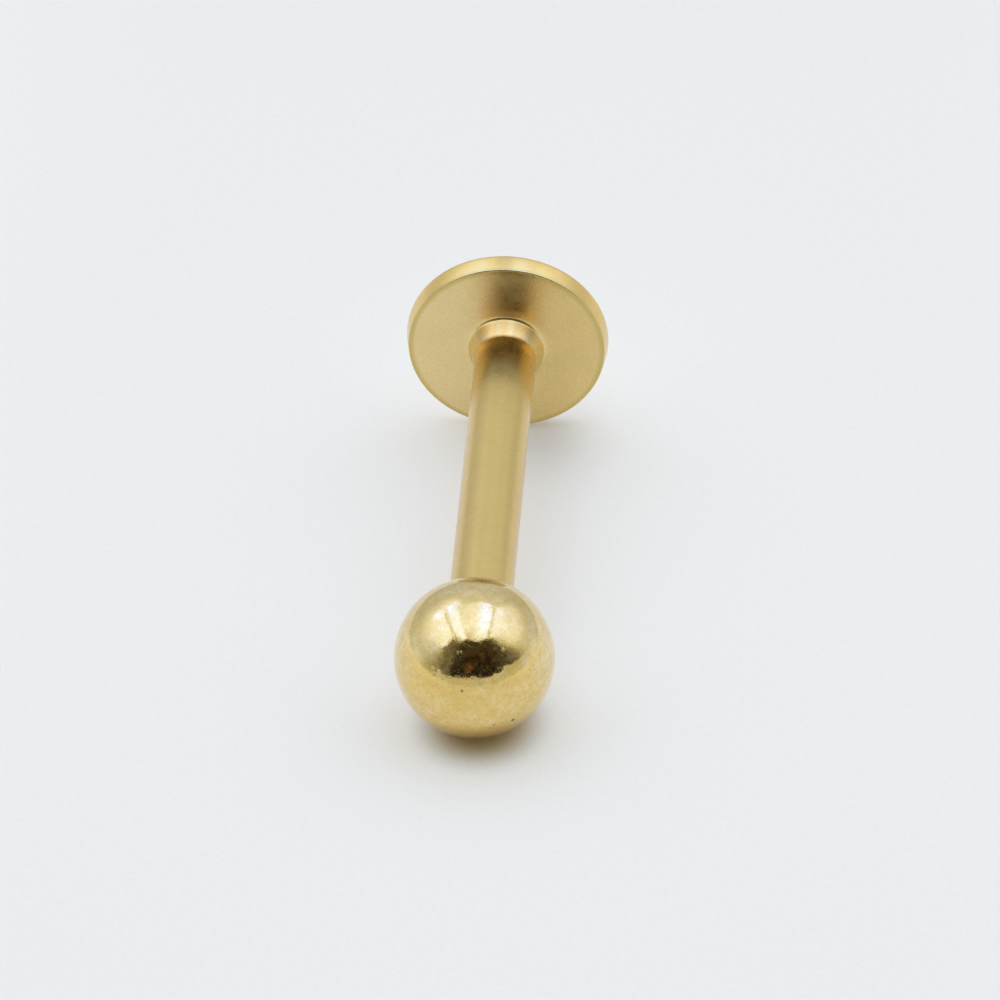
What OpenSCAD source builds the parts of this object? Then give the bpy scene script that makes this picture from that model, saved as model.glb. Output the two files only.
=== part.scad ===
// Flat-back labret stud with a screw-on ball, lying on its side.
// The stud is turned about one axis. That axis runs from the ball (low -Y end) to the disc (high +Y end),
// tilted so that the ball and the disc's inner rim both touch the surface it lies on.

/* [Ball] */
// Diameter of the ball
ball_d = 3.0; // [2.5:0.1:4]
// Distance from the ball's centre to the small flat round its hole
ball_flat = 1.33; // [1.2:0.01:1.4]
// Depth of the blind hole, measured from the flat
hole_depth = 1.8; // [1.3:0.05:2.2]

/* [Post] */
// Diameter of the post
post_d = 1.2; // [1:0.05:1.6]
// Bare length of post between the ball and the disc
wear_l = 8.0; // [6:0.5:12]
// Diameter of the screwed end, at the root of its thread
screw_d = 0.89; // [0.8:0.01:0.89]
// Length of the screwed end
screw_l = 1.65; // [1.2:0.05:1.8]
// Diameter of the flared foot where the post meets the disc
foot_d = 1.52; // [1.3:0.02:2]
// Height of the flared foot along the post
foot_h = 0.38; // [0.2:0.02:0.8]

/* [Disc] */
// Diameter of the disc
disc_d = 4.0; // [3:0.5:5]
// Thickness of the disc
disc_t = 0.42; // [0.3:0.02:0.8]
// Radius that rounds both edges of the rim
rim_r = 0.06; // [0.05:0.01:0.12]

/* [Fit] */
// Radial clearance round the screwed end
screw_gap = 0.02; // [0.02:0.01:0.04]
// Gap left between the post's shoulder and the ball's flat
seat_gap = 0.01; // [0.01:0.01:0.03]

/* [Hidden] */

ball_r = ball_d / 2;
post_r = post_d / 2;
screw_r = screw_d / 2;
disc_r = disc_d / 2;
hole_r = screw_r + screw_gap;

// Stations along the axis, measured from the ball's centre towards the disc
shoulder_s = ball_flat + seat_gap;
disc_s = shoulder_s + wear_l;
tip_s = shoulder_s - screw_l;
floor_s = ball_flat - hole_depth;

// The drill leaves a 118 degree point at the bottom of the hole
drill_h = hole_r / tan(59);
// Lead-in chamfers of the hole's mouth and of the screw's tip
mouth_c = 0.08;
tip_c = 0.08;

// The seam of each turned surface is set so that its low point lies right under the axis
disc_seam = 2;
ball_seam = -2.3;

// Lying angle: the ball and the rounded inner rim rest on one plane
rim_s = disc_s + rim_r;
reach = sqrt(rim_s * rim_s + (disc_r - rim_r) * (disc_r - rim_r));
lie = atan2(disc_r - rim_r, rim_s) - asin((ball_r - rim_r) / reach);

// The box of the lying stud is centred on the origin along Y
far_y = (disc_s + disc_t - rim_r) * cos(lie) + (disc_r - rim_r) * sin(lie) + rim_r;
ball_y = -(far_y - ball_r) / 2;

// Carries a shape turned about +Z, with the ball's centre at the origin, onto the lying axis
module on_axis() {
    translate([0, ball_y, ball_r]) rotate([lie - 90, 0, 0]) children();
}

// Half section of the disc, with both edges of its rim rounded
module disc_section() {
    square([disc_r - rim_r, disc_t]);
    translate([0, rim_r]) square([disc_r, disc_t - 2 * rim_r]);
    translate([disc_r - rim_r, rim_r]) circle(r = rim_r, $fn = 48);
    translate([disc_r - rim_r, disc_t - rim_r]) circle(r = rim_r, $fn = 48);
}

// Back disc, flared foot, post and screwed end: soldered into one solid
module disc_post() {
    color([0.80, 0.69, 0.42])
    on_axis() {
        translate([0, 0, disc_s]) rotate([0, 0, disc_seam]) rotate_extrude($fn = 128) disc_section();
        translate([0, 0, disc_s - foot_h])
            cylinder(h = foot_h + disc_t / 2, r1 = post_r, r2 = post_r + (foot_d / 2 - post_r) * (foot_h + disc_t / 2) / foot_h, $fn = 96);
        translate([0, 0, shoulder_s]) cylinder(h = wear_l + disc_t / 2, r = post_r, $fn = 96);
        translate([0, 0, tip_s + tip_c]) cylinder(h = screw_l - tip_c + 0.2, r = screw_r, $fn = 96);
        translate([0, 0, tip_s]) cylinder(h = tip_c, r1 = screw_r - tip_c, r2 = screw_r, $fn = 96);
    }
}

// Ball with a small flat and a blind hole for the screwed end
module ball() {
    color([0.83, 0.71, 0.44])
    on_axis()
    difference() {
        rotate([0, 0, ball_seam]) sphere(r = ball_r, $fn = 128);
        translate([0, 0, ball_flat]) cylinder(h = ball_r, r = ball_r, $fn = 96);
        translate([0, 0, floor_s]) cylinder(h = hole_depth + 0.2, r = hole_r, $fn = 96);
        translate([0, 0, floor_s - drill_h]) cylinder(h = drill_h + 0.001, r1 = 0.001, r2 = hole_r, $fn = 96);
        translate([0, 0, ball_flat - mouth_c]) cylinder(h = mouth_c + 0.001, r1 = hole_r, r2 = hole_r + mouth_c, $fn = 96);
    }
}

disc_post();
ball();
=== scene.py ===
import math

import bpy
import numpy as np
from mathutils import Matrix, Vector


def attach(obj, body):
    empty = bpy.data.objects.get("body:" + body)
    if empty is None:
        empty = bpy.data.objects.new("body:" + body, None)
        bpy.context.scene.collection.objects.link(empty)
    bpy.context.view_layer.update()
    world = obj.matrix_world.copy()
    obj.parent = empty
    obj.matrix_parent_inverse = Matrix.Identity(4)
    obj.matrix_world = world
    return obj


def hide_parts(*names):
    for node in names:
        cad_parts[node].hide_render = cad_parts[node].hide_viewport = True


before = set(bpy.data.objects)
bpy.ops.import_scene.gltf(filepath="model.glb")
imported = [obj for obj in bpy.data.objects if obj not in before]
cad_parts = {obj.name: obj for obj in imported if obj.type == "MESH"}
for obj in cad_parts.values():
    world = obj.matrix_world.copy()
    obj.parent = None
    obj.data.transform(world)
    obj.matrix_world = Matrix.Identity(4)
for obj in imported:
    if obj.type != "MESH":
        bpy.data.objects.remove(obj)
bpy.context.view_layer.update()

MM = 0.001

# ---------------------------------------------------------------- sizes, in millimetres, as the solids have them
BALL_R = 1.5
BALL_FLAT = 1.33
HOLE_R = 0.465
HOLE_FLOOR = -0.47
MOUTH_C = 0.08
POST_R = 0.6
SHOULDER = 1.34
TIP = -0.31
SCREW_R = 0.445
DISC_R = 2.0
DISC_S = 9.34
DISC_T = 0.42
RIM_R = 0.06
FOOT_R = 0.76
FOOT_H = 0.38
PITCH = 0.25
LIE = math.radians(3.032504896)
BALL_Y = -4.174523875

# The stud is turned about one axis: local z runs from the ball's centre to the disc
AXIS = Matrix.Translation((0, BALL_Y, BALL_R)) @ Matrix.Rotation(LIE - math.pi / 2, 4, "X")
AXIS_INV = AXIS.inverted()
AXIS_NP = np.array(AXIS)


def to_frame(points):
    """Points in the turning frame, in mm, to the row frame, in metres."""
    return (points @ AXIS_NP[:3, :3].T + AXIS_NP[:3, 3]) * MM


# ---------------------------------------------------------------- turned meshes
def turned(name, rows, seg, start, end):
    """A closed turned mesh. Each row is (r, s), numbers or arrays of seg values; start and end are the poles' stations."""
    ang = np.arange(seg) * (2 * math.pi / seg)
    ca, sa = np.cos(ang), np.sin(ang)
    pts = []
    for r, s in rows:
        r = np.broadcast_to(r, seg)
        s = np.broadcast_to(s, seg)
        pts.append(np.stack([r * ca, r * sa, s], 1))
    n = len(rows)
    pts = np.concatenate(pts + [np.array([[0, 0, start], [0, 0, end]])])
    a = np.arange(n - 1)[:, None] * seg + np.arange(seg)[None, :]
    b = np.arange(n - 1)[:, None] * seg + (np.arange(seg)[None, :] + 1) % seg
    quads = np.stack([a, a + seg, b + seg, b], -1).reshape(-1, 4).tolist()
    k = np.arange(seg)
    first = np.stack([np.full(seg, n * seg), k, (k + 1) % seg], 1).tolist()
    base = (n - 1) * seg
    last = np.stack([base + (k + 1) % seg, base + k, np.full(seg, n * seg + 1)], 1).tolist()
    mesh = bpy.data.meshes.new(name)
    mesh.from_pydata(to_frame(pts).tolist(), [], quads + first + last)
    mesh.validate()
    mesh.shade_smooth()
    mesh.set_sharp_from_angle(angle=math.radians(32))
    obj = bpy.data.objects.new(name, mesh)
    bpy.context.scene.collection.objects.link(obj)
    # outward normals
    import bmesh
    bm = bmesh.new()
    bm.from_mesh(mesh)
    bmesh.ops.recalc_face_normals(bm, faces=bm.faces)
    bm.to_mesh(mesh)
    bm.free()
    mesh.shade_smooth()
    mesh.set_sharp_from_angle(angle=math.radians(32))
    return obj


def arc(cr, cs, rad, a0, a1, n):
    """Points on a round corner: centre (cr, cs), from angle a0 to a1 in degrees, 0 along +r and 90 along +s."""
    return [(cr + rad * math.cos(math.radians(a)), cs + rad * math.sin(math.radians(a))) for a in np.linspace(a0, a1, n)]


def line(r0, s0, r1, s1, n):
    """n points from the first to the second, both included."""
    return [(r0 + (r1 - r0) * t, s0 + (s1 - s0) * t) for t in np.linspace(0, 1, n)]


def smooth01(x):
    x = np.clip(x, 0, 1)
    return x * x * (3 - 2 * x)


def thread_wave(s, ang, crest, root, share):
    """Radius of a thread with flat crests and roots, at station s and angle ang: share is the crest's part of the pitch."""
    phase = (s / PITCH - ang / (2 * math.pi)) % 1.0
    d = np.abs(phase - 0.5)                         # 0 at the middle of the crest, 0.5 at the middle of the root
    flank = (0.5 - share) * 0.5 + 0.06
    return crest + (root - crest) * smooth01((d - share / 2) / flank)


# ---------------------------------------------------------------- node helper
class Num:
    """A number inside a node tree, which adds and multiplies like a plain one."""

    def __init__(self, tree, out):
        self.tree, self.out = tree, out

    def math(self, op, *args, clamp=False):
        n = self.tree.nodes.new("ShaderNodeMath")
        n.operation, n.use_clamp = op, clamp
        for i, a in enumerate((self,) + args):
            if isinstance(a, Num):
                self.tree.links.new(a.out, n.inputs[i])
            else:
                n.inputs[i].default_value = a
        return Num(self.tree, n.outputs[0])

    def __add__(self, o): return self.math("ADD", o)
    def __radd__(self, o): return self.math("ADD", o)
    def __sub__(self, o): return self.math("SUBTRACT", o)
    def __rsub__(self, o): return (self * -1.0) + o
    def __mul__(self, o): return self.math("MULTIPLY", o)
    def __rmul__(self, o): return self.math("MULTIPLY", o)
    def __truediv__(self, o): return self.math("DIVIDE", o)
    def abs(self): return self.math("ABSOLUTE")
    def least(self, o): return self.math("MINIMUM", o)
    def most(self, o): return self.math("MAXIMUM", o)
    def power(self, p): return self.math("POWER", p)

    def rise(self, a, b):
        """0 below a, 1 above b, smooth between; falls if a is the larger."""
        n = self.tree.nodes.new("ShaderNodeMapRange")
        n.interpolation_type, n.clamp = "SMOOTHSTEP", True
        self.tree.links.new(self.out, n.inputs["Value"])
        lo, hi = min(a, b), max(a, b)
        n.inputs["From Min"].default_value, n.inputs["From Max"].default_value = lo, hi
        n.inputs["To Min"].default_value, n.inputs["To Max"].default_value = (0.0, 1.0) if a < b else (1.0, 0.0)
        return Num(self.tree, n.outputs["Result"])

    def bell(self, middle, width):
        """1 at middle, falling to about 0 at two widths away."""
        d = (self - middle) / width
        return (d * d * -1.0).math("EXPONENT")

    def ramp(self, stops, lo, hi):
        """Reads a short table of (value, result), straight lines between."""
        n = self.tree.nodes.new("ShaderNodeValToRGB")
        n.color_ramp.interpolation = "LINEAR"
        els = n.color_ramp.elements
        while len(els) < len(stops):
            els.new(0.5)
        for e, (x, y) in zip(els, stops):
            e.position = (x - lo) / (hi - lo)
            c = y if isinstance(y, tuple) else (y, y, y)
            e.color = (c[0], c[1], c[2], 1)
        self.tree.links.new(((self - lo) / (hi - lo)).out, n.inputs["Fac"])
        return n.outputs["Color"]

    def table(self, stops, lo, hi):
        n = self.tree.nodes.new("ShaderNodeRGBToBW")
        self.tree.links.new(self.ramp(stops, lo, hi), n.inputs[0])
        return Num(self.tree, n.outputs[0])


def mix(a, b, t):
    """a where t is 0, b where t is 1."""
    if isinstance(b, Num):
        return (b - a) * t + a
    return (a * -1.0 + b) * t + a


# ---------------------------------------------------------------- camera
AZ, EL, ROLL = math.radians(4.63), math.radians(36.16), math.radians(-1.49)
DIST, FOCAL = 111.07, 6000.0
back = Vector((math.sin(AZ) * math.cos(EL), -math.cos(AZ) * math.cos(EL), math.sin(EL)))
right = (-back).cross(Vector((0, 0, 1))).normalized()
up = right.cross(-back)
r2 = math.cos(ROLL) * right + math.sin(ROLL) * up
u2 = -math.sin(ROLL) * right + math.cos(ROLL) * up
ball_centre = Vector((0, BALL_Y, BALL_R))
xc, yc = (474.5 - 500) / FOCAL * DIST, -(657.7 - 500) / FOCAL * DIST
eye = ball_centre - (xc * r2 + yc * u2 - DIST * back)
cam_data = bpy.data.cameras.new("camera")
cam_data.sensor_width, cam_data.lens = 36.0, FOCAL / 1000 * 36.0
cam_data.clip_start, cam_data.clip_end = 0.005, 5.0
cam = bpy.data.objects.new("camera", cam_data)
bpy.context.scene.collection.objects.link(cam)
cam.matrix_world = Matrix.Translation(eye * MM) @ Matrix((r2, u2, back)).transposed().to_4x4()
bpy.context.scene.camera = cam

# ---------------------------------------------------------------- ball
SEG = 192
b_r = BALL_R * 0.9985                                # a hair inside the solid's box, and so is the disc
rows = []
# the ball's skin, from the front pole to the edge of its small flat
edge = math.degrees(math.acos(BALL_FLAT / BALL_R))
for a in np.linspace(180 - 0.9, edge + 0.55, 132):
    rows.append((b_r * math.sin(math.radians(a)), b_r * math.cos(math.radians(a))))
flat_r = math.sqrt(b_r ** 2 - BALL_FLAT ** 2)
rows += [(flat_r - 0.006, BALL_FLAT - 0.0008), (flat_r - 0.016, BALL_FLAT)]
rows += line(flat_r - 0.03, BALL_FLAT, 0.64, BALL_FLAT, 2)
# countersunk mouth, then the tapped hole down to its drilled point
ang = np.arange(SEG) * (2 * math.pi / SEG)
rows += [(0.632, BALL_FLAT - 0.004), (0.627, BALL_FLAT - 0.010)]
for s in np.linspace(BALL_FLAT - 0.016, -0.40, 168):
    depth = smooth01((BALL_FLAT - s - 0.02) / 0.13)
    runout = smooth01((s + 0.40) / 0.16)
    mouth = 0.622 - 1.02 * (BALL_FLAT - 0.016 - s)
    r = thread_wave(s + PITCH / 2, ang, HOLE_R + 0.008, 0.606, 0.20)     # its ridges lie between the screw's
    r = HOLE_R + 0.008 + (r - HOLE_R - 0.008) * runout
    rows.append((np.maximum(r, mouth), s))
rows += [(HOLE_R, -0.43), (HOLE_R, HOLE_FLOOR)]
point = HOLE_R / math.tan(math.radians(59))
rows += line(HOLE_R - 0.01, HOLE_FLOOR - 0.006, 0.04, HOLE_FLOOR - point * 0.93, 6)
ball = turned("screw_ball", rows, SEG, -b_r, HOLE_FLOOR - point * 0.99)

# ---------------------------------------------------------------- disc, foot, post and screw, one turned piece
d_r = DISC_R * 0.9972
top = DISC_S + DISC_T
rows = []
rows += line(0.05, top, d_r - RIM_R - 0.05, top, 14)
rows += arc(d_r - RIM_R, top - RIM_R, RIM_R, 90, 5, 13)
# the rim is crowned a little: it leans in towards the face, where its edge is barely broken
tilt0, tilt1 = math.radians(6.0), math.radians(13.0)
r, s = rows[-1]
edge_s = DISC_S + 0.030
for k in range(7):
    tilt = tilt0 + (tilt1 - tilt0) * (k + 0.5) / 7
    step = (top - RIM_R - edge_s) / 7
    r, s = r - step * math.tan(tilt), s - step
    rows.append((r, s))
rows += arc(r - 0.030, DISC_S + 0.030, 0.030, -14, -90, 6)
rows += line(r - 0.07, DISC_S, FOOT_R + 0.10, DISC_S, 16)
# soldered foot: a small fillet on the face, a straight flare, and a soft turn into the post
slope = (FOOT_R - POST_R) / FOOT_H
rows += [(FOOT_R + 0.055, DISC_S - 0.002), (FOOT_R + 0.03, DISC_S - 0.007), (FOOT_R + 0.008, DISC_S - 0.017), (FOOT_R - 0.008, DISC_S - 0.034)]
for t in np.linspace(0.12, 0.93, 12):
    rows.append((FOOT_R - slope * t * FOOT_H, DISC_S - t * FOOT_H))
rows += [(POST_R + 0.004, DISC_S - FOOT_H * 1.01), (POST_R + 0.0015, DISC_S - FOOT_H * 1.04), (POST_R, DISC_S - FOOT_H * 1.09)]
rows += line(POST_R, DISC_S - FOOT_H * 1.16, POST_R, SHOULDER + 0.06, 34)
rows += [(POST_R, SHOULDER + 0.034), (POST_R - 0.003, SHOULDER + 0.018), (POST_R - 0.012, SHOULDER + 0.005), (POST_R - 0.026, SHOULDER)]
rows += line(POST_R - 0.04, SHOULDER, SCREW_R + 0.02, SHOULDER, 4)
rows += [(SCREW_R + 0.006, SHOULDER - 0.004), (SCREW_R, SHOULDER - 0.016), (SCREW_R, SHOULDER - 0.05)]
for s in np.linspace(SHOULDER - 0.07, TIP + 0.02, 176):
    runout = smooth01((SHOULDER - 0.05 - s) / 0.14)
    r = SCREW_R + (thread_wave(s, ang, 0.583, SCREW_R, 0.10) - SCREW_R) * runout
    tip = SCREW_R - 0.055 + 1.1 * (s - TIP)
    rows.append((np.minimum(r, tip), s))
rows += [(SCREW_R - 0.05, TIP + 0.006), (SCREW_R - 0.062, TIP), (0.28, TIP), (0.12, TIP)]
post = turned("disc_and_post", rows, SEG, top, TIP)

# ---------------------------------------------------------------- gold
def local_coords(tree):
    """Coordinates in the turning frame, in mm: x, y across, s along the axis, and the distance r from it."""
    tc = tree.nodes.new("ShaderNodeTexCoord")
    mp = tree.nodes.new("ShaderNodeVectorRotate")
    mp.rotation_type = "X_AXIS"
    mp.inputs["Center"].default_value = (0, BALL_Y * MM, BALL_R * MM)
    mp.inputs["Angle"].default_value = -(LIE - math.pi / 2)
    tree.links.new(tc.outputs["Object"], mp.inputs["Vector"])
    sub = tree.nodes.new("ShaderNodeVectorMath")
    sub.operation = "SUBTRACT"
    sub.inputs[1].default_value = (0, BALL_Y * MM, BALL_R * MM)
    tree.links.new(mp.outputs[0], sub.inputs[0])
    sc = tree.nodes.new("ShaderNodeVectorMath")
    sc.operation = "SCALE"
    sc.inputs["Scale"].default_value = 1000.0
    tree.links.new(sub.outputs[0], sc.inputs[0])
    sep = tree.nodes.new("ShaderNodeSeparateXYZ")
    tree.links.new(sc.outputs[0], sep.inputs[0])
    x, y, s = (Num(tree, sep.outputs[i]) for i in range(3))
    return sc.outputs[0], x, y, s, (x * x + y * y).power(0.5)


def noise(tree, vec, scale, detail=2.0, rough=0.5, distort=0.0, stretch=None, offset=(0, 0, 0), turn=(0, 0, 0)):
    mp = tree.nodes.new("ShaderNodeMapping")
    mp.inputs["Location"].default_value = offset
    mp.inputs["Rotation"].default_value = turn
    mp.inputs["Scale"].default_value = stretch or (1, 1, 1)
    tree.links.new(vec, mp.inputs["Vector"])
    n = tree.nodes.new("ShaderNodeTexNoise")
    n.noise_dimensions = "3D"
    n.inputs["Scale"].default_value = scale
    n.inputs["Detail"].default_value = detail
    n.inputs["Roughness"].default_value = rough
    n.inputs["Distortion"].default_value = distort
    tree.links.new(mp.outputs[0], n.inputs["Vector"])
    return Num(tree, n.outputs["Fac"])


def blend_colour(tree, one, two, amount, how="MIX"):
    n = tree.nodes.new("ShaderNodeMix")
    n.data_type = "RGBA"
    n.blend_type = how
    tree.links.new(amount.out, n.inputs["Factor"])
    for i, c in ((6, one), (7, two)):
        if isinstance(c, tuple):
            n.inputs[i].default_value = c + (1,)
        else:
            tree.links.new(c, n.inputs[i])
    return n.outputs[2]


def gold(name, rough_low, rough_high, coat, surface):
    """A procedural gold plating. surface(tree, vec, x, y, s, r) gives (height in mm, colour, brightness, extra roughness)."""
    mat = bpy.data.materials.new(name)
    mat.use_nodes = True
    tree = mat.node_tree
    bsdf = tree.nodes["Principled BSDF"]
    bsdf.inputs["Metallic"].default_value = 1.0
    bsdf.inputs["Coat Weight"].default_value = coat
    bsdf.inputs["Coat Roughness"].default_value = rough_low
    bsdf.inputs["Coat IOR"].default_value = 1.5
    vec, x, y, s, r = local_coords(tree)
    height, colour, bright, extra = surface(tree, vec, x, y, s, r)
    comb = tree.nodes.new("ShaderNodeCombineColor")
    for i in range(3):
        tree.links.new(bright.out, comb.inputs[i])
    full = bright * 0.0 + 1.0
    tree.links.new(blend_colour(tree, colour, comb.outputs[0], full, "MULTIPLY"), bsdf.inputs["Base Color"])
    rough = mix(full * rough_low, rough_high, noise(tree, vec, 3.1, 4.0, 0.6, offset=(3, 1, 7)).rise(0.35, 0.7)) + extra
    tree.links.new(rough.out, bsdf.inputs["Roughness"])
    bump = tree.nodes.new("ShaderNodeBump")
    bump.inputs["Strength"].default_value = 1.0
    bump.inputs["Distance"].default_value = MM
    tree.links.new(height.out, bump.inputs["Height"])
    tree.links.new(bump.outputs[0], bsdf.inputs["Normal"])
    return mat


def hairlines(tree, vec, turn, across, along, level, offset=(0, 0, 0)):
    """Fine straight scratches: thin sheets of noise that cut the surface, 1 on a scratch."""
    spin = tree.nodes.new("ShaderNodeMapping")
    spin.inputs["Rotation"].default_value = turn
    tree.links.new(vec, spin.inputs["Vector"])
    n = noise(tree, spin.outputs[0], 1.0, 1.0, 0.5, 0.15, stretch=(across, along, along), offset=offset)
    return (n - 0.5).abs().rise(level, 0.0)


def ball_surface(tree, vec, x, y, s, r):
    wave = noise(tree, vec, 2.6, 2.0, 0.5)
    peel = noise(tree, vec, 9.0, 3.0, 0.6, offset=(5, 2, 9))
    grit = noise(tree, vec, 30.0, 2.0, 0.6, offset=(1, 8, 3))
    cloud = noise(tree, vec, 2.0, 3.0, 0.55, offset=(2, 7, 1))
    fleck = noise(tree, vec, 11.0, 4.0, 0.7, offset=(6, 3, 2))
    specks = noise(tree, vec, 23.0, 1.0, 0.5, offset=(9, 5, 4))
    # noise for painted glint specks: small pale spots in the colour stand for highlights
    painted_glints = noise(tree, vec, 20.0, 1.0, 0.5, offset=(3, 9, 8))
    patch = noise(tree, vec, 4.6, 4.0, 0.65, offset=(7, 3, 5))
    # the front and underside are more handled than the back
    worn = mix(cloud.rise(0.40, 0.62), 1.0, y.rise(-0.2, 0.6) * 0.6)
    h1 = hairlines(tree, vec, (0.3, 0.5, 0.2), 17.0, 0.9, 0.012) * patch.rise(0.46, 0.60)
    h2 = hairlines(tree, vec, (1.1, -0.4, 0.9), 15.0, 0.8, 0.011, (4, 4, 4)) * patch.rise(0.52, 0.40)
    h3 = hairlines(tree, vec, (-0.7, 0.2, 1.9), 19.0, 0.9, 0.012, (8, 1, 5)) * cloud.rise(0.56, 0.42)
    scratch = (h1 + h2 + h3).least(1.0) * (worn * 0.5 + 0.5)
    dots = specks.rise(0.66, 0.74) * (worn * 0.6 + 0.4)
    height = (wave - 0.5) * 0.0045 + (peel - 0.5) * 0.0022 + (grit - 0.5) * 0.00024 - scratch * 0.0005 - dots * 0.0008
    # painted sheen: the colour turns paler towards the ball's two sides across x; the pale specks are painted glint
    # highlights
    pale = (fleck * 1.6 + patch * 1.8 - 1.45).most(0.0) * worn + scratch * 0.35 + painted_glints.rise(0.68, 0.76) * 0.6 + x.abs().rise(0.95, 1.45) * 0.35
    colour = blend_colour(tree, (0.78, 0.56, 0.178), (0.80, 0.66, 0.38), pale.least(1.0))
    # painted reflection of the ball's own contact shadow: the underside is deeper and browner
    colour = blend_colour(tree, colour, (0.66, 0.41, 0.04), y.rise(0.30, 0.72) * s.rise(0.9, 0.3))
    bright = (cloud - 0.5) * 0.12 + (patch - 0.5) * 0.24 + (fleck - 0.5) * 0.26 + (grit - 0.5) * 0.26 + scratch * 0.06 - dots * 0.20 + 1.0
    # painted light and shade: the lower part is a little lighter, the cap next to the post a little darker
    bright = bright + y.rise(-0.3, 0.4) * 0.03 - y.rise(-0.5, -0.9) * s.rise(-0.55, -0.25) * 0.07
    for px, py, ps, wide, deep in PITS:
        d = ((x - px) * (x - px) + (y - py) * (y - py) + (s - ps) * (s - ps)).power(0.5)
        spot = (d + (peel - 0.5) * wide).rise(wide, wide * 0.4)
        bright = bright * (spot * -deep + 1.0)
        height = height - spot * (0.004 * deep)
    return height, colour, bright, worn * 0.02 + scratch * 0.04


def post_surface(tree, vec, x, y, s, r):
    peel = noise(tree, vec, 7.0, 3.0, 0.55, offset=(5, 2, 9))
    grit = noise(tree, vec, 34.0, 2.0, 0.6, offset=(1, 8, 3))
    cloud = noise(tree, vec, 1.7, 3.0, 0.55)
    fleck = noise(tree, vec, 14.0, 3.0, 0.65, offset=(6, 3, 2))
    # fine turning rings: along the post they follow s, on the disc they follow r
    comb = tree.nodes.new("ShaderNodeCombineXYZ")
    tree.links.new((s * 1.0).out, comb.inputs[0])
    tree.links.new((r * 1.0).out, comb.inputs[1])
    rings = noise(tree, comb.outputs[0], 26.0, 3.0, 0.7)
    h1 = hairlines(tree, vec, (0.3, 0.5, 0.2), 22.0, 0.8, 0.010) * fleck.rise(0.42, 0.60)
    h2 = hairlines(tree, vec, (1.1, -0.4, 0.9), 18.0, 0.7, 0.010, (4, 4, 4)) * fleck.rise(0.56, 0.40)
    scratch = (h1 + h2).least(1.0)
    height = (peel - 0.5) * 0.0012 + (grit - 0.5) * 0.0002 + (rings - 0.5) * 0.00035 - scratch * 0.0001
    # the post is warmer in colour than the disc and its foot; painted light and shade on the disc: paler to one side,
    # the foot's top deeper orange than its sides, and the rim darker near the face and more orange further back
    # painted light: the disc is paler to one side
    pale = blend_colour(tree, (0.82, 0.65, 0.315), (0.79, 0.60, 0.248), x.rise(-1.2, 1.2))
    # painted light: the foot's top is deeper orange than its sides
    foot = blend_colour(tree, (0.77, 0.60, 0.26), (0.89, 0.580, 0.158), y.rise(-0.42, -0.62))
    pale = blend_colour(tree, foot, pale, r.rise(0.72, 0.84).most(s.rise(9.36, 9.40)))
    # painted light and shade round the rim: darker near the face, more orange further back
    pale = blend_colour(tree, pale, (0.64, 0.49, 0.16), r.rise(1.80, 1.90) * s.rise(9.62, 9.50))
    pale = blend_colour(tree, pale, (0.78, 0.52, 0.125), s.rise(9.36, 9.42) * r.rise(1.88, 1.93))
    # painted reflection: the post is browner next to the foot, most on its top side, for the disc's gold seen in it
    shaft = blend_colour(tree, (0.665, 0.452, 0.108), (0.665, 0.380, 0.060), s.rise(7.95, 8.45) * (y.rise(0.2, -0.45) * 0.65 + 0.30))
    colour = blend_colour(tree, shaft, pale, s.rise(8.93, 9.02))
    bright = (cloud - 0.5) * 0.12 + (fleck - 0.5) * 0.14 + (rings - 0.5) * 0.10 + scratch * 0.05 + 1.0
    # painted highlight: the top of the post next to the foot is brighter
    bright = bright * (s.rise(8.62, 8.84) * s.rise(9.00, 8.94) * y.rise(-0.1, -0.45) * 0.45 + 1.0)
    # painted light: the face is a little brighter low down, on one side
    bright = bright * (y.rise(0.3, 1.5) * x.rise(-0.3, 0.7) * s.rise(9.10, 9.30) * s.rise(9.50, 9.40) * 0.13 + 1.0)
    # painted shade: a darker spot on the rim's highest place
    spot = (x * x * 2.5 + (y + 2.0) * (y + 2.0) + (s - 9.55) * (s - 9.55)).power(0.5).rise(0.42, 0.12)
    bright = bright * (spot * -0.14 + 1.0)
    return height, colour, bright, scratch * 0.03


# small pits of the ball, in the turning frame: place, width and depth
PITS = [(-0.121, -0.426, -1.433, 0.040, 0.55), (0.779, 0.458, -1.197, 0.046, 0.95), (0.439, 0.445, -1.363, 0.050, 0.28),
        (0.590, 0.440, -1.310, 0.030, 0.30), (0.363, 0.527, -1.357, 0.045, 0.22), (-0.004, -1.480, 0.244, 0.040, 0.25),
        (-0.640, -0.620, -1.210, 0.050, 0.20), (1.094, -0.505, -0.893, 0.030, 0.25), (-1.350, 0.300, -0.580, 0.050, 0.35)]
ball.data.materials.append(gold("gold_ball", 0.020, 0.045, 0.4, ball_surface))
post.data.materials.append(gold("gold_post", 0.26, 0.31, 0.60, post_surface))

# ---------------------------------------------------------------- floor
bpy.ops.mesh.primitive_plane_add(size=3.0, location=(0, 0, 0))
floor = bpy.context.object
floor.name = "floor"
fm = bpy.data.materials.new("floor_white")
fm.use_nodes = True
fb = fm.node_tree.nodes["Principled BSDF"]
# even where the stud lies, a little duller far in front and behind, a little lighter to the sides: painted light and
# shade;
# it glows a little, a painted fill light that lifts its shadows, except where the ball keeps the light off it: a
# painted contact shadow
ft = fm.node_tree.nodes.new("ShaderNodeTexCoord")
fs = fm.node_tree.nodes.new("ShaderNodeSeparateXYZ")
fm.node_tree.links.new(ft.outputs["Object"], fs.inputs[0])
fx, fy = (Num(fm.node_tree, fs.outputs[i]) * 1000.0 for i in range(2))
# painted light and shade: duller far in front and behind, lighter to the sides
even = fy.abs().rise(14, 75) * -0.20 + fx.abs().rise(7, 25) * fx.abs().rise(120, 60) * fy.abs().rise(60, 20) * 0.10 + 1.0
even = even - (fx * fx + fy * fy).power(0.5).rise(5, 15) * 0.012
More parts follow.
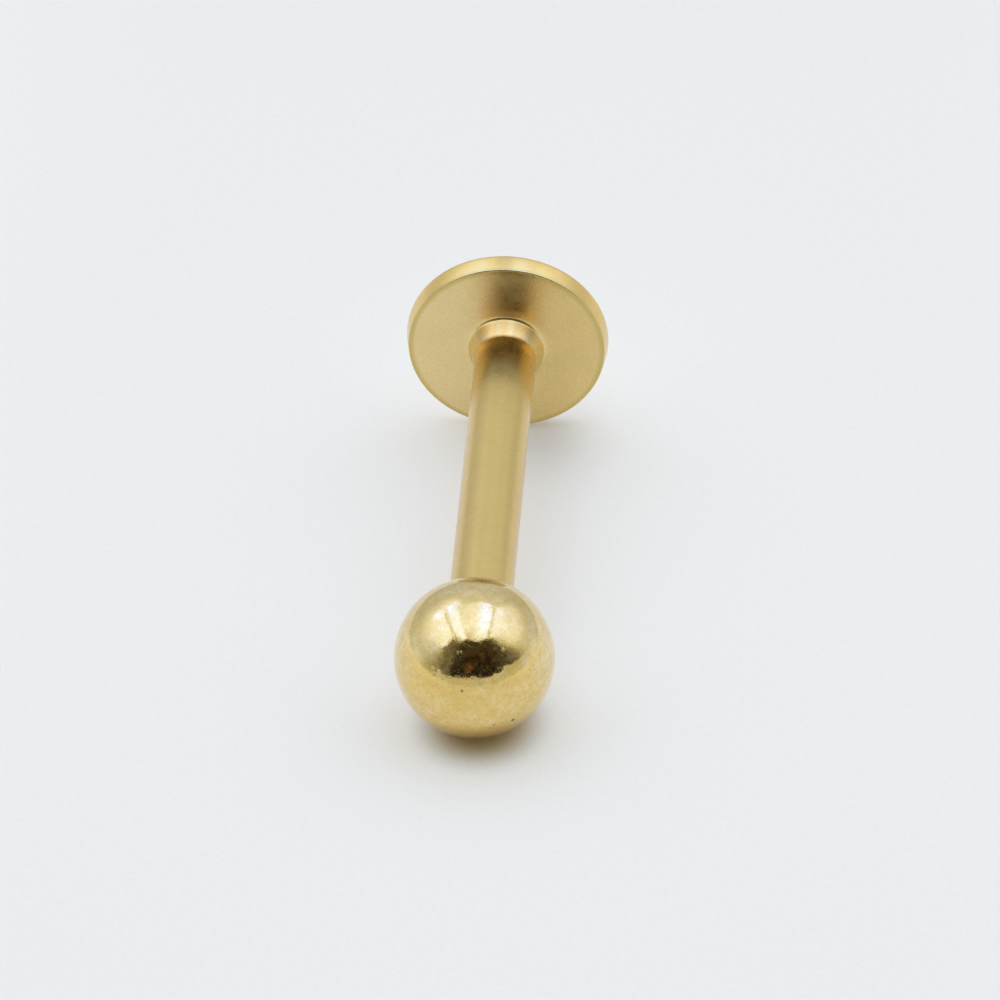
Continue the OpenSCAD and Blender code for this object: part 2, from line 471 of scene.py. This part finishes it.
# the ball's own coordinates, so that its painted contact shadow goes where it goes; the shadow is longer towards the
# front than wide
bt = fm.node_tree.nodes.new("ShaderNodeTexCoord")
bt.object = ball
bs = fm.node_tree.nodes.new("ShaderNodeSeparateXYZ")
fm.node_tree.links.new(bt.outputs["Object"], bs.inputs[0])
bx, by = (Num(fm.node_tree, bs.outputs[i]) * 1000.0 for i in range(2))
bx, by = (bx - 0.08) * 1.18, by - BALL_Y
under = (bx * bx + by * by).power(0.5)
# painted contact shadow: the floor's emission fades close under the ball
lit = under.rise(0.57, 1.73) * 0.9 + 0.1
# painted shadows of the disc and the foot on the floor beside the post
lit = lit * (fx.bell(0.75, 0.85) * fy.bell(5.1, 1.45) * -0.30 + 1.0) * (fx.bell(0.9, 0.75) * fy.rise(7.0, 4.0) * fy.rise(-6.2, -3.6) * -0.09 + 1.0)
# painted shade: the floor's colour turns browner close under the ball
floor_colour_and_painted_shade = blend_colour(fm.node_tree, (0.545, 0.42, 0.19), (0.520, 0.460, 0.325), under.rise(0.40, 1.40))
# painted fill light: the floor's emission, more orange close to the ball
painted_glow = blend_colour(fm.node_tree, (0.46, 0.38, 0.20), (0.393, 0.400, 0.367), under.rise(0.60, 1.30))
grain = fm.node_tree.nodes.new("ShaderNodeTexNoise")
grain.inputs["Scale"].default_value = 9000.0
grain.inputs["Detail"].default_value = 1.0
fm.node_tree.links.new(ft.outputs["Object"], grain.inputs["Vector"])
even = even * (Num(fm.node_tree, grain.outputs["Fac"]) * 0.05 + 0.975)
for socket, colour, share in (("Base Color", floor_colour_and_painted_shade, even), ("Emission Color", painted_glow, even * lit)):
    cc = fm.node_tree.nodes.new("ShaderNodeCombineColor")
    for i in range(3):
        fm.node_tree.links.new(share.out, cc.inputs[i])
    fm.node_tree.links.new(blend_colour(fm.node_tree, colour, cc.outputs[0], share * 0.0 + 1.0, "MULTIPLY"), fb.inputs[socket])
fb.inputs["Roughness"].default_value = 0.60
fb.inputs["Specular IOR Level"].default_value = 0.30
fb.inputs["Emission Strength"].default_value = 1.0
floor.data.materials.append(fm)

# ---------------------------------------------------------------- light tent, as a world of a few named shapes
world = bpy.data.worlds.new("tent")
world.use_nodes = True
bpy.context.scene.world = world
wt = world.node_tree
wt.nodes.clear()
tc = wt.nodes.new("ShaderNodeTexCoord")
sep = wt.nodes.new("ShaderNodeSeparateXYZ")
wt.links.new(tc.outputs["Generated"], sep.inputs[0])
X, Y, Z = (Num(wt, sep.outputs[i]) for i in range(3))
el = Z.math("ARCSINE") * (180 / math.pi)
# az is 0 on the camera's side, -90 to the right, +90 to the left and 180 behind the object
az = (X * -1.0).math("ARCTAN2", Y * -1.0) * (180 / math.pi)
zz = Z.most(0.08)
P, Q = X / zz, Y / zz                                # where the direction meets the tent's roof, at height 1

# walls, as short tables of brightness against elevation
back_wall = el.table([(0, 0.62), (10, 0.74), (20, 0.86), (28, 0.97), (36, 1.14), (50, 1.26), (57, 1.42), (65, 2.0), (90, 2.1)], 0, 90)
right_wall = el.table([(0, 0.85), (8, 0.90), (16, 0.94), (21, 1.10), (31, 1.75), (47, 1.9), (57, 2.5), (70, 2.2), (90, 2.2)], 0, 90)
left_wall = el.table([(0, 0.85), (9, 0.93), (16, 0.98), (27, 1.6), (38, 2.0), (47, 2.5), (55, 2.9), (64, 2.6), (90, 2.2)], 0, 90)
V = mix(back_wall, right_wall, az.rise(-149, -138) * az.rise(0, -10))
V = mix(V, left_wall, az.rise(0, 10) * mix(az.rise(158, 105), az.rise(160, 142), el.rise(28, 44)))
V = V + az.bell(120, 9) * el.bell(41, 7) * 1.4 + az.bell(141, 9) * el.bell(51, 5) * 1.6 + az.bell(-134, 8) * el.bell(50, 5) * 1.3
V = V + (az.bell(-103, 15) + az.bell(86, 14)) * el.rise(14, 2) * 0.5

# roof panel between the two upper edges, with a lamp strip inside each
roof_l = P - (Q * -0.3 - 0.59)
roof = roof_l.rise(-0.02, 0.03) * P.rise(0.43, 0.39) * Q.rise(0.68, 0.54) * Z.rise(0.3, 0.4)
roof_v = P.rise(-0.3, 0.35) * 0.6 + 2.0 - P.bell(-0.075, 0.10) * Q.rise(-0.12, -0.38) * 1.0
V = mix(V, roof_v, roof)
strip_r = P.table([(0.0, 0), (0.05, 0.10), (0.10, 0.38), (0.14, 0.60), (0.20, 0.93), (0.24, 1), (0.28, 0.92), (0.33, 0.55), (0.38, 0.12), (0.42, 0)], 0, 0.42)
strip_r = strip_r * mix(Q * 0.0 + 1.0, P.rise(0.08, 0.25), Q.rise(0.0, -0.22)) * Q.rise(-0.48, -0.34) * Q.rise(0.76, 0.60)
strip_l = (P - (Q * -0.26 - 0.395)).abs().rise(0.15, 0.065) * Q.rise(-0.50, -0.40) * Q.rise(0.82, 0.62)
V = mix(V, Q.rise(-0.1, -0.4) * -1.2 + 4.5, strip_r * Z.rise(0.3, 0.4))
V = mix(V, Q.rise(0.1, 0.4) * 0.8 + 3.55, strip_l * Z.rise(0.3, 0.4))
# the sewn edges show as thin darker lines
V = mix(V, Q.rise(0.25, -0.2) * -0.35 + 1.15, (P - 0.42).bell(0, 0.036) * Q.rise(-0.6, -0.5) * Q.rise(0.70, 0.55) * 0.95)
V = mix(V, 1.0, roof_l.bell(0, 0.038) * Q.rise(-0.6, -0.5) * Q.rise(0.60, 0.40) * 0.9)

# the tent's dark opening on the camera's side: its edges wander, and are soft low down
ragged = wt.nodes.new("ShaderNodeTexNoise")
ragged.inputs["Scale"].default_value = 9.0
ragged.inputs["Detail"].default_value = 3.0
ragged.inputs["Roughness"].default_value = 0.6
wt.links.new(tc.outputs["Generated"], ragged.inputs["Vector"])
rag = Num(wt, ragged.outputs["Fac"]) - 0.5
edge_r = el.table([(0, 76), (17, 80), (27, 76), (37, 68), (47, 62), (57, 59), (70, 58)], 0, 70)
side_r = (az + edge_r + rag * 16.0).rise(-18, 10)
low_l = mix((az + rag * 8.0).rise(58.5, 52), (az + rag * 10.0).rise(100, 40), el.rise(42, 30))
top_e = az.table([(-80, 51), (-60, 56.5), (-48, 60), (-36, 61), (-12, 61.8), (0, 62.2), (14, 63.8), (22, 62.5), (29, 59), (48, 58), (62, 56), (90, 55)], -80, 90)
low_e = az.table([(-90, 10.5), (-62, 13), (-50, 14.7), (-43, 9.5), (-24, 8.8), (0, 8.8), (22, 8.0), (34, 5.0), (46, 6.5), (57, 2), (70, 1), (90, 1)], -90, 90)
above = (el - low_e + rag * 5.0).rise(-1.2, 1.6)
dark = side_r * low_l * (el - top_e + rag * 7.0).rise(3.5, -3.5)
inside = az.table([(-80, 0.24), (-60, 0.10), (-46, 0.045), (-30, 0.016), (14, 0.016), (28, 0.032), (35, 0.15), (50, 0.19), (60, 0.26), (90, 0.3)], -80, 90)
low_zone = (above * -1.0 + 1.0) * az.rise(-88, -66) * az.rise(84, 62) * el.rise(20, 14)
V = mix(V, el.rise(8, 0) * 0.08 + 0.72, low_zone)
V = mix(V, inside * (rag * 2.0 + 1.0).most(0.2), dark * above)

TONES = [(0.0, (0.0, 0.0, 0.0)), (0.3, (0.062, 0.062, 0.060)), (0.7, (0.126, 0.134, 0.140)), (1.07, (0.154, 0.170, 0.214)),
         (1.5, (0.198, 0.219, 0.300)), (2.1, (0.240, 0.274, 0.420)), (2.9, (0.255, 0.320, 0.580)), (4.5, (0.258, 0.352, 0.900))]
tone = V.ramp(TONES, 0, 4.5)
# inside the opening it is brown, with an orange patch and a few small lights
def add_colour(base, amount, colour):
    comb = wt.nodes.new("ShaderNodeCombineColor")
    for i in range(3):
        wt.links.new((amount * colour[i]).out, comb.inputs[i])
    n = wt.nodes.new("ShaderNodeVectorMath")
    n.operation = "ADD"
    wt.links.new(base, n.inputs[0])
    wt.links.new(comb.outputs[0], n.inputs[1])
    return n.outputs[0]


hole = dark * above
tone = add_colour(tone, hole * ((rag * 4.5 + 0.35).most(0.0)), (0.0100, 0.0066, 0.0024))
tone = add_colour(tone, hole * el.rise(40, 56), (0.0075, 0.0070, 0.0045))
tone = add_colour(tone, hole * az.bell(3, 6) * (el + rag * 14.0).bell(25, 6), (0.0260, 0.0100, 0.0030))
tone = add_colour(tone, hole * az.bell(-17, 5) * el.bell(40, 5), (0.0110, 0.0046, 0.0020))
lights = (az.bell(20.5, 1.7) * el.bell(44.4, 1.1) + az.bell(27, 1.6) * el.bell(41, 1.6) * 0.6 + az.bell(-60, 2.0) * el.bell(36.5, 1.3)
          + az.bell(-46, 1.6) * el.bell(42.5, 1.1) * 0.22 + az.bell(47, 3) * el.bell(8.5, 1.6) * 0.7 + az.bell(57, 2.5) * el.bell(6.5, 1.6) * 0.5)
tone = add_colour(tone, lights, (0.20, 0.21, 0.24))
tone = add_colour(tone, low_zone, (0.002, -0.004, -0.022))
bg = wt.nodes.new("ShaderNodeBackground")
wt.links.new(tone, bg.inputs["Color"])
bg.inputs["Strength"].default_value = 5.0
plain = wt.nodes.new("ShaderNodeBackground")
# seen past the floor's edge it takes the floor's own tone there: paler to the sides than behind and in front
wt.links.new(blend_colour(wt, (0.715, 0.735, 0.775), (0.870, 0.895, 0.965), az.abs().bell(90, 42)), plain.inputs["Color"])
plain.inputs["Strength"].default_value = 1.0
# the floor takes its light from the same tent without its small detail, which it could not show
soft = el.table([(0, 0.82), (8, 0.88), (16, 0.95), (22, 1.15), (30, 1.6), (40, 1.85), (50, 2.15), (58, 2.5), (66, 2.8), (90, 2.9)], 0, 90)
soft = soft * (az.abs().rise(135, 155) * el.rise(66, 58) * -0.35 + 1.0) * (az.abs().rise(72, 48) * el.rise(7, 13) * el.rise(66, 59) * -0.97 + 1.0)
bg_soft = wt.nodes.new("ShaderNodeBackground")
wt.links.new(soft.ramp(TONES, 0, 4.5), bg_soft.inputs["Color"])
bg_soft.inputs["Strength"].default_value = 5.0
lp = wt.nodes.new("ShaderNodeLightPath")
ms0 = wt.nodes.new("ShaderNodeMixShader")
wt.links.new(lp.outputs["Is Diffuse Ray"], ms0.inputs[0])
wt.links.new(bg.outputs[0], ms0.inputs[1])
wt.links.new(bg_soft.outputs[0], ms0.inputs[2])
ms = wt.nodes.new("ShaderNodeMixShader")
wt.links.new(lp.outputs["Is Camera Ray"], ms.inputs[0])
wt.links.new(ms0.outputs[0], ms.inputs[1])
wt.links.new(plain.outputs[0], ms.inputs[2])
wo = wt.nodes.new("ShaderNodeOutputWorld")
wt.links.new(ms.outputs[0], wo.inputs["Surface"])
world.cycles.sampling_method = "NONE"

sc = bpy.context.scene
sc.cycles.max_bounces = 6
sc.cycles.diffuse_bounces = 1
sc.cycles.glossy_bounces = 5
sc.view_settings.view_transform = "Standard"
sc.view_settings.look = "None"
sc.view_settings.exposure = 0.0
sc.view_settings.gamma = 1.0

# ---------------------------------------------------------------- what moves with what
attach(ball, "ball")
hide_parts("ball")
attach(post, "stud")
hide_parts("disc_post")
